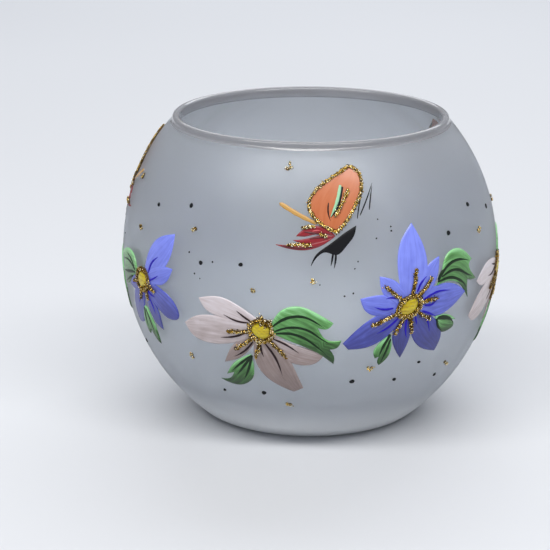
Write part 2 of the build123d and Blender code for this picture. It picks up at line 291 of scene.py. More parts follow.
def enamel(name, tones, streaks=0.25, roughness=(0.28, 0.42), coat=0.2):
    """Hand-brushed enamel: streaks run along the stroke between the tones, dark to light."""
    shader = Shader(name, IOR=1.5, Specular_IOR_Level=0.3 + coat, Coat_Weight=coat, Coat_Roughness=0.15)
    stroke = shader.attribute("stroke", "Vector")
    # The tone attribute holds each stroke's own tone together with the painted light and shade that dab
    # adds.
    tone = shader.attribute("tone", "Fac")
    bristle = shader.noise(stroke, 1.0, detail=3, stretch=(0.16, 1.5, 1))
    blotch = shader.noise(stroke, 0.35, detail=2)
    light = shader.plus(tone, shader.spread(bristle, -streaks, streaks))
    light = shader.plus(light, shader.spread(blotch, -0.12, 0.12))
    stops = [(index / (len(tones) - 1), srgb(*colour)) for index, colour in enumerate(tones)]
    shader.set("Base Color", shader.ramp(light, stops))
    shader.set("Roughness", shader.spread(bristle, *roughness))
    shader.set("Normal", shader.bump(bristle, 0.3, 0.00008))
    return shader.material


def line_enamel(name, tones):
    """Thinned enamel of the fine veins: matter, and with no coat."""
    return enamel(name, tones, 0.3, (0.4, 0.5), coat=0.0)


def glue():
    """Dark amber glue that holds the glitter."""
    shader = Shader("glitter_glue", IOR=1.5, Coat_Weight=0.3, Coat_Roughness=0.1)
    lumps = shader.noise(shader.object_place(), 3200, detail=3)
    shader.set("Base Color", shader.ramp(lumps, [(0.35, srgb(40, 29, 6)), (0.65, srgb(112, 82, 22))]))
    shader.set("Roughness", shader.spread(lumps, 0.25, 0.5))
    shader.set("Normal", shader.bump(lumps, 0.8, 0.00015))
    return shader.material


def gold_flakes():
    """Hexagonal glitter: each flake has a tone of its own, from dark bronze to near white; the dark flakes
    are painted shade and the near-white ones painted glints.
    """
    shader = Shader("gold_flakes", Metallic=1.0)
    tone = shader.attribute("tone", "Fac")
    shader.set("Base Color", shader.ramp(tone, [
        (0.0, srgb(52, 38, 6)), (0.35, srgb(140, 104, 22)), (0.62, srgb(236, 194, 84)),
        (0.85, srgb(255, 236, 160)), (1.0, srgb(255, 252, 240)),
    ]))
    shader.set("Roughness", shader.spread(tone, 0.30, 0.14))
    return shader.material


# ---------------- points on the glass
def outward(points):
    """Outward normals of the outer surface near points, and how far outside it they are."""
    across = np.hypot(points[:, 0], points[:, 1])
    rise = points[:, 2] - BELLY_HEIGHT
    arc = np.where(rise >= 0, SHOULDER_ARC, LOWER_ARC)
    from_middle = across - (BOWL_RADIUS - arc)
    length = np.hypot(from_middle, rise)
    flat = (from_middle / length / across)[:, None] * points[:, :2]
    return np.column_stack([flat, rise / length]), length - arc


class Spot:
    """The plane that touches the bowl at one angle and height."""

    def __init__(self, angle, height, tilt=0.0, mirrored=False):
        arc = SHOULDER_ARC if height >= BELLY_HEIGHT else LOWER_ARC
        rise = height - BELLY_HEIGHT
        reach = math.sqrt(arc**2 - rise**2)
        radius = BOWL_RADIUS - arc + reach
        away = np.array([math.sin(math.radians(angle)), -math.cos(math.radians(angle)), 0])
        self.middle = radius * away + np.array([0, 0, height])
        self.out = away * reach / arc + np.array([0, 0, rise / arc])
        level = np.array([-away[1], away[0], 0])
        steep = np.cross(self.out, level)
        turn = math.radians(tilt)
        self.right = level * math.cos(turn) + steep * math.sin(turn)
        self.up = steep * math.cos(turn) - level * math.sin(turn)
        self.side = -1 if mirrored else 1

    def on_glass(self, local, rise):
        """Points of the tangent plane, carried straight onto the glass and raised above it."""
        local = np.asarray(local, float)
        points = self.middle + self.side * local[:, :1] * self.right + local[:, 1:2] * self.up
        for _ in range(8):
            normals, gap = outward(points)
            points = points - (gap / np.maximum(normals @ self.out, 0.2))[:, None] * self.out
        normals, _ = outward(points)
        return points + normals * np.reshape(rise, (-1, 1))


# ---------------- curves and filled outlines
def smooth_line(points, step):
    """Points about step apart on a natural cubic spline through the given points."""
    knots = np.array(points, float)
    gaps = np.linalg.norm(np.diff(knots, axis=0), axis=1)
    places = np.concatenate([[0], np.cumsum(gaps)])
    count = len(knots)
    system = np.eye(count)
    slopes = np.zeros((count, knots.shape[1]))
    for i in range(1, count - 1):
        system[i, i - 1:i + 2] = gaps[i - 1], 2 * (gaps[i - 1] + gaps[i]), gaps[i]
        slopes[i] = 6 * ((knots[i + 1] - knots[i]) / gaps[i] - (knots[i] - knots[i - 1]) / gaps[i - 1])
    bends = np.linalg.solve(system, slopes)
    wanted = np.linspace(0, places[-1], max(2, round(places[-1] / step) + 1))
    span = np.clip(np.searchsorted(places, wanted, side="right") - 1, 0, count - 2)
    before = (wanted - places[span])[:, None]
    after = (places[span + 1] - wanted)[:, None]
    gap = gaps[span][:, None]
    return (
        (bends[span] * after**3 + bends[span + 1] * before**3) / (6 * gap)
        + (knots[span] / gap - bends[span] * gap / 6) * after
        + (knots[span + 1] / gap - bends[span + 1] * gap / 6) * before
    )


def outline_of(runs, step):
    """Closed polygon of an outline made of smooth runs that meet at sharp corners."""
    ring = []
    for run in runs:
        points = [*([ring[-1]] if len(ring) else []), *run]
        line = smooth_line(points, step) if len(points) > 1 else np.array(points, float)
        ring.extend(line[1:] if len(ring) else line)
    if np.linalg.norm(ring[0] - ring[-1]) < step / 2:
        ring.pop()
    elif np.linalg.norm(ring[0] - ring[-1]) > step * 1.5:
        ring.extend(smooth_line([ring[-1], ring[0]], step)[1:-1])
    return np.array(ring)


def edge_distance(points, ring):
    """Distance from each point to the nearest edge of a closed polygon."""
    start, end = ring, np.roll(ring, -1, axis=0)
    along = end - start
    share = ((points[:, None] - start) * along).sum(-1) / (along**2).sum(-1)
    nearest = start + np.clip(share, 0, 1)[..., None] * along
    return np.linalg.norm(points[:, None] - nearest, axis=-1).min(axis=1)


def inside(points, ring):
    """Which points lie inside a closed polygon."""
    start, end = ring, np.roll(ring, -1, axis=0)
    x, y = points[:, :1], points[:, 1:]
    spans = (start[:, 1] > y) != (end[:, 1] > y)
    rise = np.where(end[:, 1] == start[:, 1], 1, end[:, 1] - start[:, 1])
    crossing = (end[:, 0] - start[:, 0]) * (y - start[:, 1]) / rise + start[:, 0]
    return (spans & (x < crossing)).sum(axis=1) % 2 == 1


def fill(ring, grid, rims=()):
    """Triangles inside a polygon, on a grid of equal triangles and rows that follow the edge."""
    low, high = ring.min(axis=0), ring.max(axis=0)
    rows = np.arange(low[1], high[1], grid * math.sqrt(3) / 2)
    columns = np.arange(low[0], high[0] + grid, grid)
    lattice = np.array([(x + grid / 2 * (row % 2), y) for row, y in enumerate(rows) for x in columns])
    lattice = lattice[inside(lattice, ring)]
    keep = max([grid * 0.5, *[rim + grid * 0.45 for rim in rims]])
    lattice = lattice[edge_distance(lattice, ring) > keep] if len(lattice) else lattice
    points = [ring, lattice.reshape(-1, 2)]
    ahead, behind = np.roll(ring, -1, axis=0), np.roll(ring, 1, axis=0)
    tangent = ahead - behind
    turned = (ring[:, 0] * ahead[:, 1] - ahead[:, 0] * ring[:, 1]).sum()
    inward = np.column_stack([-tangent[:, 1], tangent[:, 0]]) * np.sign(turned)
    inward /= np.maximum(np.linalg.norm(inward, axis=1), 1e-9)[:, None]
    for rim in rims:
        row = ring + inward * rim
        row = row[inside(row, ring)]
        points.append(row[edge_distance(row, ring) > rim * 0.92] if len(row) else row.reshape(-1, 2))
    points = np.concatenate(points)
    edges = [(i, (i + 1) % len(ring)) for i in range(len(ring))]
    made = delaunay_2d_cdt([Vector(point) for point in points], edges, [], 1, 1e-5)
    return np.array([tuple(vertex) for vertex in made[0]]), [tuple(face) for face in made[2]]


def stroke_coordinates(points, ring, start):
    """Along (0 at the root, 1 at the tip) and across (-1 to 1) a stroke that starts near a point."""
    reach = np.linalg.norm(ring - start, axis=1)
    tip, root = ring[np.argmax(reach)], ring[np.argmin(reach)]
    axis = (tip - root) / max(np.linalg.norm(tip - root), 1e-6)
    normal = np.array([-axis[1], axis[0]])
    length = max(((ring - root) @ axis).max(), 1e-6)
    edge_along, edge_across = (ring - root) @ axis / length, (ring - root) @ normal
    bins = np.linspace(0, 1, 15)
    low, high = [], []
    for middle in bins:
        near = edge_across[np.abs(edge_along - middle) < 0.07]
        low.append(near.min() if len(near) else 0)
        high.append(near.max() if len(near) else 0)
    along = np.clip((points - root) @ axis / length, 0, 1)
    bottom, top = np.interp(along, bins, low), np.interp(along, bins, high)
    across = ((points - root) @ normal - (bottom + top) / 2) / np.maximum((top - bottom) / 2, 0.3)
    return along, np.clip(across, -1.2, 1.2), length, axis


def tube_faces(rows, sides):
    """Quads between rings of points that follow one another, all with the same number of sides."""
    return [
        (row + k, row + (k + 1) % sides, row + sides + (k + 1) % sides, row + sides + k)
        for row in range(0, (rows - 1) * sides, sides) for k in range(sides)
    ]


def new_mesh(name, points, faces, layers, materials):
    """A smooth mesh; layers holds the number of the material of each face."""
    mesh = bpy.data.meshes.new(name)
    mesh.from_pydata((np.array(points) * MM).tolist(), [], faces)
    for material in materials:
        mesh.materials.append(material)
    mesh.polygons.foreach_set("material_index", layers)
    mesh.polygons.foreach_set("use_smooth", [True] * len(faces))
    return mesh


def add_object(mesh):
    made = bpy.data.objects.new(mesh.name, mesh)
    scene.collection.objects.link(made)
    return made


# ---------------- paint meshes
class Paint:
    """One painted piece: shells that share the attributes stroke and tone."""

    def __init__(self):
        self.points, self.strokes, self.tones = [], [], []
        self.faces, self.layers = [], []
        self.count = 0

    def add(self, points, faces, layer, stroke, tone):
        self.points.append(points)
        self.strokes.append(np.broadcast_to(stroke, (len(points), 3)))
        self.tones.append(np.broadcast_to(tone, (len(points),)))
        self.faces.extend([tuple(self.count + corner for corner in face) for face in faces])
        self.layers.extend([layer] * len(faces))
        self.count += len(points)

    def finish(self, node, slot, *paints):
        """Make the piece that stands for a node; paints name the material of each layer."""
        materials = [PAINTS[paint] for paint in paints]
        mesh = new_mesh(f"painted_{node}", np.concatenate(self.points), self.faces, self.layers, materials)
        strokes = mesh.attributes.new("stroke", "FLOAT_VECTOR", "POINT")
        strokes.data.foreach_set("vector", np.concatenate(self.strokes).astype(np.float32).ravel())
        tones = mesh.attributes.new("tone", "FLOAT", "POINT")
        tones.data.foreach_set("value", np.concatenate(self.tones).astype(np.float32))
        mesh.validate()
        mesh.update()
        piece = add_object(mesh)
        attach(piece, "root")
        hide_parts(node)

    def dab(self, spot, runs, rise, layer, lift=0.0, tone=0.5, start=(0, 0), lean=0.0, painted_top_light=0.0, edge=0.0):
        """A filled brush stroke: full in the middle, with a slightly proud rounded edge.

        Its tone carries painted light from above: it rises by lean where the stroke points up, by
        the painted top-light share towards its top, and by edge along its upper edges, a painted highlight.
        """
        ring = outline_of(runs, OUTLINE_STEP)
        flat, faces = fill(ring, PAINT_GRID, EDGE_ROWS)
        distance = edge_distance(flat, ring)
        along, across, length, axis = stroke_coordinates(flat, ring, np.array(start, float))
        seed = rng.uniform(0, SEED_RANGE)
        bristle = np.sin(across * 9 + seed) * 0.5 + np.sin(across * 17 + seed * 3 + along * 2) * 0.5
        body = 1 - np.exp(-distance / EDGE_ROUND)
        rim = np.exp(-((distance - RIM_PLACE) / RIM_WIDTH) ** 2)
        height = rise * body * (1 + RIM_SHARE * rim + BRISTLE_SHARE * bristle)
        top = spot.on_glass(flat, height + lift * body - SUNK * np.exp(-distance / 0.03))
        low, high = ring[:, 1].min(), ring[:, 1].max()
        upness = 2 * (flat[:, 1] - low) / (high - low) - 1
        # Painted light and shade: lighter where the stroke points up and towards its top, darker below.
        shade = tone + lean * axis[1] + painted_top_light * upness + 0.06 * np.abs(across) ** 3
        # Painted highlight along the upper edges.
        shade += edge * np.exp(-((distance / 0.55) ** 2)) * (upness > -0.2)
        stroke = np.column_stack([along * length, across * 4, np.full(len(flat), seed)])
        self.add(top, self.facing(top, faces, spot.out, 1), layer, stroke, shade)
        ground, under = fill(ring, UNDER_GRID)
        bottom = spot.on_glass(ground, -SUNK)
        self.add(bottom, self.facing(bottom, under, spot.out, -1), layer, (0, 0, seed), tone)

    @staticmethod
    def facing(points, faces, out, sign):
        """The faces, each turned so that it faces out of the glass, or into it."""
        a, b, c = (points[[face[i] for face in faces]] for i in range(3))
        turned = np.einsum("ij,j->i", np.cross(b - a, c - a), out) * sign < 0
        return [tuple(reversed(face)) if flip else face for face, flip in zip(faces, turned)]

    def line(self, spot, points, width, rise, layer, lift=0.0, tone=0.5, taper=(0.5, 1.0), wobble=0.06):
        """A thin brush line with a domed section, thinned towards its ends."""
        middle = smooth_line(points, OUTLINE_STEP)
        count = len(middle)
        share = np.linspace(0, 1, count)
        seed = rng.uniform(0, SEED_RANGE)
        slim = 1 - taper[0] * np.exp(-share / 0.10) - taper[1] * np.clip((share - 0.35) / 0.65, 0, 1) ** 2
        half = np.maximum(width / 2 * (slim + wobble * np.sin(share * 23 + seed)), width * 0.06)
        tangent = np.gradient(middle, axis=0)
        tangent /= np.maximum(np.linalg.norm(tangent, axis=1), 1e-9)[:, None]
        normal = np.column_stack([-tangent[:, 1], tangent[:, 0]])
        angles = np.array([180, 150, 115, 90, 65, 30, 0, -90])
        rings, heights = [], []
        for angle in np.radians(angles):
            rings.append(middle + normal * (half * math.cos(angle))[:, None])
            dome = rise * (half / half.max()) ** 0.6 * max(math.sin(angle), 0)
            heights.append(np.where(math.sin(angle) >= -0.1, dome + lift * (math.sin(angle) > 0.1), -SUNK))
        sides = len(angles)
        flat = np.stack(rings, axis=1).reshape(-1, 2)
        points = spot.on_glass(flat, np.stack(heights, axis=1).reshape(-1))
        ends = spot.on_glass(middle[[0, -1]] + tangent[[0, -1]] * half[[0, -1]][:, None] * [[-1], [1]], 0)
        first, last, last_row = count * sides, count * sides + 1, (count - 1) * sides
        faces = tube_faces(count, sides)
        faces += [((k + 1) % sides, k, first) for k in range(sides)]
        faces += [(last_row + k, last_row + (k + 1) % sides, last) for k in range(sides)]
        if spot.side > 0:
            faces = [tuple(reversed(face)) for face in faces]
        along = np.append(np.repeat(share * 10, sides), [0, 10])
        across = np.append(np.tile(np.cos(np.radians(angles)) * 3, count), [0, 0])
        stroke = np.column_stack([along, across, np.full(len(along), seed)])
        self.add(np.concatenate([points, ends]), faces, layer, stroke, tone)

    def dome(self, spot, middle, radii, rise, tone=0.5, lumps=0.0, turn=0.0, rings=6, sides=20):
        """A round or oval drop, closed underneath."""
        seed = rng.uniform(0, SEED_RANGE)
        flat, heights = [middle], [rise]
        for ring in range(1, rings + 1):
            share = ring / rings
            for k in range(sides):
                angle = 2 * math.pi * k / sides
                wave = 1 + 0.06 * math.sin(2 * angle + seed) + 0.04 * math.sin(3 * angle + seed * 2)
                x, y = radii[0] * share * wave * math.cos(angle), radii[1] * share * wave * math.sin(angle)
                flat.append((
                    middle[0] + x * math.cos(turn) - y * math.sin(turn),
                    middle[1] + x * math.sin(turn) + y * math.cos(turn),
                ))
                lump = 1 + lumps * math.sin(5 * x + seed) * math.sin(5.5 * y + seed * 2)
                heights.append(rise * lump * math.sqrt(max(1 - share**2, 0)) - SUNK * (ring == rings))
        flat.append(middle)
        heights.append(-SUNK)
        faces = [(0, 1 + k, 1 + (k + 1) % sides) for k in range(sides)]
        for ring in range(rings - 1):
            start = 1 + ring * sides
            faces += [
                (start + k, start + sides + k, start + sides + (k + 1) % sides, start + (k + 1) % sides)
                for k in range(sides)
            ]
        start, under = 1 + (rings - 1) * sides, 1 + rings * sides
        faces += [(start + (k + 1) % sides, start + k, under) for k in range(sides)]
        if spot.side < 0:
            faces = [tuple(reversed(face)) for face in faces]
        flat = np.array(flat)
        stroke = np.column_stack([flat, np.full(len(flat), seed)])
        self.add(spot.on_glass(flat, heights), faces, 0, stroke, tone)

    def flakes(self, spot, places, rise, dark, painted_glint_share):
        """Hexagonal glitter flakes, each tilted and turned in its own way, as the second layer."""
        count = len(places)
        middles = spot.on_glass(places, rise)
        normals, _ = outward(middles)

        def unit(vectors):
            return vectors / np.linalg.norm(vectors, axis=1)[:, None]

        lean = unit(normals + rng.normal(0, FLAKE_TILT, (count, 3)))
        side = unit(np.cross(lean, rng.normal(0, 1, (count, 3))))
        other = np.cross(lean, side)
        size = FLAKE_SIZE * rng.uniform(0.7, 1.2, (count, 1))
        corners = [
            middles + size * (math.cos(angle) * side + math.sin(angle) * other) + shift * lean
            for shift in (FLAKE_THICKNESS / 2, -FLAKE_THICKNESS / 2)
            for angle in np.radians(range(0, 360, 60))
        ]
        hexagon = [(0, 1, 2, 3, 4, 5), (11, 10, 9, 8, 7, 6)]
        hexagon += [(6 + k, 6 + (k + 1) % 6, (k + 1) % 6, k) for k in range(6)]
        faces = [tuple(12 * flake + corner for corner in face) for flake in range(count) for face in hexagon]
        # Painted light: the share dark of the flakes is dark, as painted shade, and the glint share near
        # white, as painted glints; the rest are mid gold.
        chance = rng.random(count)
        tone = np.where(chance < dark, rng.uniform(0.0, 0.35, count), rng.uniform(0.45, 0.8, count))
        tone = np.where(chance > 1 - painted_glint_share, rng.uniform(0.85, 1.0, count), tone)
        tones = np.repeat(tone, 12)
        stroke = np.column_stack([tones, tones, tones])
        self.add(np.stack(corners, axis=1).reshape(-1, 3), faces, 1, stroke, tones)

    def glitter_line(self, spot, points, width, lift, dark, painted_glint_share=0.16):
        """A bead of glue along a line, covered with flakes."""
        self.line(spot, points, width * 0.95, GLUE_RISE, 0, lift, taper=(0.1, 0.3), wobble=0.10)
        step = 0.1
        middle = smooth_line(points, step)
        length = step * len(middle)
        picks = rng.integers(0, len(middle), int(length * width * FLAKES_PER_AREA))
        offset = rng.normal(0, width * 0.26, (len(picks), 2))
        share = np.clip(np.linalg.norm(offset, axis=1) / (width * 0.6), 0, 1)
        rise = lift + GLUE_RISE * np.sqrt(1 - share**2) + rng.uniform(0.02, 0.10, len(picks))
        # dark and the glint share set how many flakes get painted shade and painted glints.
        self.flakes(spot, middle[picks] + offset, rise, dark, painted_glint_share)


# ---------------- glass
def arc_points(middle, radius, start, end, step):
    """Points on an arc of the profile, from one angle to another, in degrees."""
    count = max(2, round(abs(math.radians(end - start)) * radius / step) + 1)
    angles = np.radians(np.linspace(start, end, count))
    return [(middle[0] + radius * math.cos(a), middle[1] + radius * math.sin(a)) for a in angles]


def blow_bowl():
    """The glass, turned from its profile: frosted outside, glossy inside, polished lip."""
    low_x, high_x = BOWL_RADIUS - LOWER_ARC, BOWL_RADIUS - SHOULDER_ARC
    low, high = (low_x, BELLY_HEIGHT), (high_x, BELLY_HEIGHT)

    def tangent_arc(middle, arc, height=None, x=None):
        """Middle of a fillet at a given distance from an arc's middle."""
        if x is None:
            return middle[0] + math.sqrt(arc**2 - (height - middle[1]) ** 2), height
        return x, middle[1] + math.sqrt(arc**2 - (x - middle[0]) ** 2)

    def bearing(start, end):
        return math.degrees(math.atan2(end[1] - start[1], end[0] - start[0]))

    heel = tangent_arc(low, LOWER_ARC - HEEL_FILLET, height=HEEL_FILLET)
    floor_corner = tangent_arc(low, LOWER_ARC - WALL - FLOOR_FILLET, height=BASE_THICKNESS + FLOOR_FILLET)
    neck = tangent_arc(high, SHOULDER_ARC + NECK_FILLET, x=LIP_RADIUS + NECK_FILLET)
    mouth = LIP_RADIUS - LIP_WALL
    throat = tangent_arc(high, SHOULDER_ARC - WALL + NECK_FILLET, x=mouth + NECK_FILLET)
    bead = (LIP_RADIUS - LIP_WALL / 2, LIP_TOP - LIP_WALL / 2)

    underside = [(r, PUNT_DEPTH) for r in np.linspace(POLE_GAP, PUNT_RADIUS - 1, 14)]
    underside += [(PUNT_RADIUS, PUNT_DEPTH * 0.97), (PUNT_RADIUS + PUNT_SLOPE * 0.5, PUNT_DEPTH / 2)]
    underside += [(PUNT_RADIUS + PUNT_SLOPE, 0)]
    outside = (
        arc_points(heel, HEEL_FILLET, -90, bearing(low, heel), MIDDLE_STEP)
        + arc_points(low, LOWER_ARC, bearing(low, heel), 0, COARSE_STEP)[1:]
        + arc_points(high, SHOULDER_ARC, 0, bearing(high, neck), SHOULDER_STEP)[1:]
    )
    collar = (
        arc_points(neck, NECK_FILLET, bearing(neck, high) + 360, 180, LIP_STEP)[1:]
        + arc_points(bead, LIP_WALL / 2, 0, 180, LIP_STEP)
        + arc_points(throat, NECK_FILLET, 180, bearing(throat, high) + 360, LIP_STEP)
    )
    inside_glass = (
        arc_points(high, SHOULDER_ARC - WALL, bearing(high, throat), 0, COARSE_STEP)[1:]
        + arc_points(low, LOWER_ARC - WALL, 0, bearing(low, floor_corner), COARSE_STEP)[1:]
        + arc_points(floor_corner, FLOOR_FILLET, bearing(low, floor_corner), -90, MIDDLE_STEP)[1:]
        + [(r, BASE_THICKNESS) for r in np.linspace(floor_corner[0] - 1.5, POLE_GAP, 16)]
    )
    profile = np.array(underside + outside + collar + inside_glass)
    etched = sum(point[1] < neck[1] - UNETCHED for point in outside)
    zones = [FROSTED] * (len(underside) + etched)
    zones += [POLISHED] * (len(outside) - etched + len(collar))
    zones += [GLOSSY] * len(inside_glass)

    angles = np.linspace(0, 2 * math.pi, ROUND_STEPS, endpoint=False)
    cosines, sines = np.cos(angles), np.sin(angles)
    points = np.stack([
        profile[:, :1] * cosines, profile[:, :1] * sines,
        np.broadcast_to(profile[:, 1:], (len(profile), ROUND_STEPS)),
    ], axis=-1).reshape(-1, 3)
    poles = [(0, 0, PUNT_DEPTH), (0, 0, BASE_THICKNESS)]
    first, last, top_row = len(points), len(points) + 1, len(points) - ROUND_STEPS
    faces = tube_faces(len(profile), ROUND_STEPS)
    layers = np.repeat(zones[1:], ROUND_STEPS).tolist()
    for k in range(ROUND_STEPS):
        after = (k + 1) % ROUND_STEPS
        faces.append((first, after, k))
        faces.append((top_row + k, top_row + after, last))
        layers += [FROSTED, GLOSSY]

    materials = (frosted_glass(), glossy_glass(), polished_lip())
    mesh = new_mesh("blown_bowl", np.concatenate([points, poles]), faces, layers, materials)
    mesh.update()
    bowl = add_object(mesh)
    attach(bowl, "root")
    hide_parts("glass_bowl")


# ---------------- flower patterns
# An outline is a list of smooth runs that meet at sharp corners, as in the CAD.
BLUE_STAR = {
    "petals": [
        [[(-2, 2.5), (-3.2, 9), (-1.9, 16.2), (2, 20.4)], [(4.8, 14.6), (5.6, 9), (3, 1.5)]],
        [[(2.5, 3), (6.2, 10), (9.6, 11.3)], [(9, 7), (5, 1)]],
        [[(3, 2.5), (10, 4.2), (15.5, 2.8), (19.4, 0)], [(15, -2.6), (9.5, -4.2), (3, -2.5)]],
        [[(3.5, -1.5), (8.5, -4.8), (11.6, -10.5), (10.3, -14.5)], [(5.2, -12.4), (1.5, -8), (0.5, -2.5)]],
        [[(1, -2.5), (1.2, -8), (-0.7, -14.3)], [(-2.9, -11.2), (-4, -6), (-1.5, -2.5)]],
        [[(-2, 0.5), (-8.5, -1.2), (-13.2, -4.4), (-16.7, -8.5)],
         [(-15.1, -10.3)], [(-10.6, -10), (-6, -7.7), (-1, -2.5)]],
        [[(-2.5, 2.5), (-8, 3.9), (-13.2, 3.3)], [(-11.6, -0.2), (-9, -1.5), (-2.5, -1.8)]],
        [[(-1, 3.5), (-4, 7.1), (-8.2, 8.6)], [(-7.6, 4.6), (-3, 0.5)]],
    ],
    "leaves": [
        [[(8.2, 3.9), (9.8, 6.5), (11.9, 11), (15.3, 12), (19.2, 10.4), (21.9, 7.8)],
         [(20.6, 7), (21.6, 4.6), (23.9, 2.2)], [(21.8, 2.3), (19.9, 3)],
         [(19.9, 0.4), (20.7, -2.4)], [(18.8, 0.3), (16, 3.1), (12.5, 4.3), (8.2, 3.9)]],
        [[(8.4, -4.2), (12.5, -4.5), (16.6, -7)], [(14.9, -6.6)], [(15.7, -7.6), (15.4, -8.9)],
         [(13.6, -9.4), (11.4, -9.3), (9.6, -6.9)]],
        [[(-4.6, -6.7), (-7.3, -8.9), (-8.6, -11.2), (-7.9, -13.4)], [(-6.9, -13)],
         [(-7, -14.7), (-6.4, -15.6)], [(-4.4, -13.4), (-3.8, -10)]],
    ],
    "rays": [(1.9, 9.2), (6.8, 6.5), (8.5, 0.8), (6.5, -4.3), (1.2, -7), (-3.6, -6.9), (-10.1, -3.9),
             (-6.8, 5.8)],
    "veins": [
        [(2.2, 3.5), (3.3, 5.5), (5, 7)], [(4.2, 1.2), (9, 2.4), (13, 1.9)],
        [(4.6, -0.4), (7, -0.6), (8.4, 0.2)], [(3.5, -2.5), (6, -5), (7, -8)],
        [(4, -1.8), (7, -3.2), (8.5, -4)], [(2, -3), (2.3, -4), (2.6, -5.2)],
        [(-0.5, -3), (-0.6, -6), (0, -8.5)], [(-1.5, -3.5), (-2, -5), (-2.7, -6.4)],
        [(-3, -2.6), (-6, -5), (-8.5, -6.2)], [(-4.6, 0.2), (-7.4, 0.2), (-9.6, 1)],
        [(-4, 2.6), (-5.4, 3), (-6.7, 2.8)],
    ],
    "leaf_veins": [
        [(9, 5.5), (11, 7.7), (14, 9), (17, 8.9), (20.3, 7.8)],
        [(10, 6), (14, 6.9), (17, 6), (20, 4.2), (22.5, 3.2)],
        [(9, 5), (13, 5.2), (16, 4), (18.5, 2), (19.7, 0)],
        [(9, -4.8), (12, -5.4), (14.5, -6.6), (15.3, -7.8)],
        [(9.2, -4.6), (11.6, -4.8), (14.2, -5.8)],
        [(9, -5), (10, -7.5), (11.5, -8.9)],
        [(-4.8, -7), (-6.5, -10.5), (-7, -12.8)],
        [(-4.6, -8), (-5.4, -11.5), (-6.3, -14.8)],
    ],
    "centre": (3, 1.95, 24),
}

BLUE_BELL = {
    "petals": [
        [[(0.5, 2), (1.9, 6.8), (5, 11.5), (12, 14.4)], [(12.1, 10.8), (10.7, 6.6), (3, 1)]],
        [[(2, 2.5), (7.4, 5.4), (12.8, 5.6)], [(11, 2.2), (3, -0.5)]],
        [[(2.5, 0.5), (9.4, -0.8), (13.6, -3.6), (14.3, -6.8), (11.4, -8.2), (6.5, -6.4), (1.5, -2.5)]],
        [[(2, -2), (6.2, -6.5), (6.9, -12.2)], [(4, -11), (1.2, -5.5), (0.2, -2.5)]],
        [[(0.5, -2.5), (-0.9, -8.6), (-3.6, -12.6), (-7, -13.2), (-7.9, -9.6), (-5.5, -3.5), (-2, 0.5)]],
        [[(-0.5, -2.2), (-5.4, -4.2), (-9.6, -3.6)], [(-7.4, -1.2), (-2, 1.2)]],
    ],
    "leaves": [
        [[(-3.2, 1.4), (-5.6, 4.8), (-10.6, 5.6), (-17.2, 3.2)], [(-13.6, 1.6)],
         [(-15.4, -0.4), (-18.4, -2)], [(-13.8, -2.4)], [(-13.9, -3.8), (-14.8, -5.2)],
         [(-11.2, -4), (-7, -1.4)]],
        [[(-0.9, -7.2), (-2.3, -10.6), (-1.5, -15.6)], [(0.3, -13.6)], [(1.4, -15.6), (3.3, -17.2)],
         [(3.4, -13), (0.8, -7.4)]],
    ],
    "rays": [(5.8, -1.9), (2.6, -4.9), (-1.8, -5.6), (-5.4, -1.6)],
    "veins": [
        [(3, 2.5), (4.5, 5.5), (7, 7.5)], [(3.3, 0.5), (5.5, 1.6), (7.5, 2.8)],
        [(2, -2), (4, -3.2), (5.6, -3.3)], [(2.6, -4), (3.7, -5.6), (4.8, -8)],
        [(-1.3, -3.4), (-2.4, -5.2), (-3.7, -7.2)], [(-3, -1.2), (-5, -2), (-7, -2.8)],
    ],
    "leaf_veins": [
        [(-4.2, 1.2), (-8, 2.6), (-11, 2.6), (-14.4, 1.9)],
        [(-4.6, 0.8), (-8, 0.1), (-12, -0.9), (-15, -1.4)],
        [(-5.2, 2.2), (-8.2, 3.8), (-11.6, 4.2)], [(-6.4, -0.6), (-9.6, -2.2), (-13, -4)],
        [(-0.5, -7.6), (-0.9, -10), (-0.8, -13.2)], [(0.2, -7.8), (1.2, -10.6), (2.2, -14.2)],
    ],
    "centre": (2.6, 2.3, 0),
}

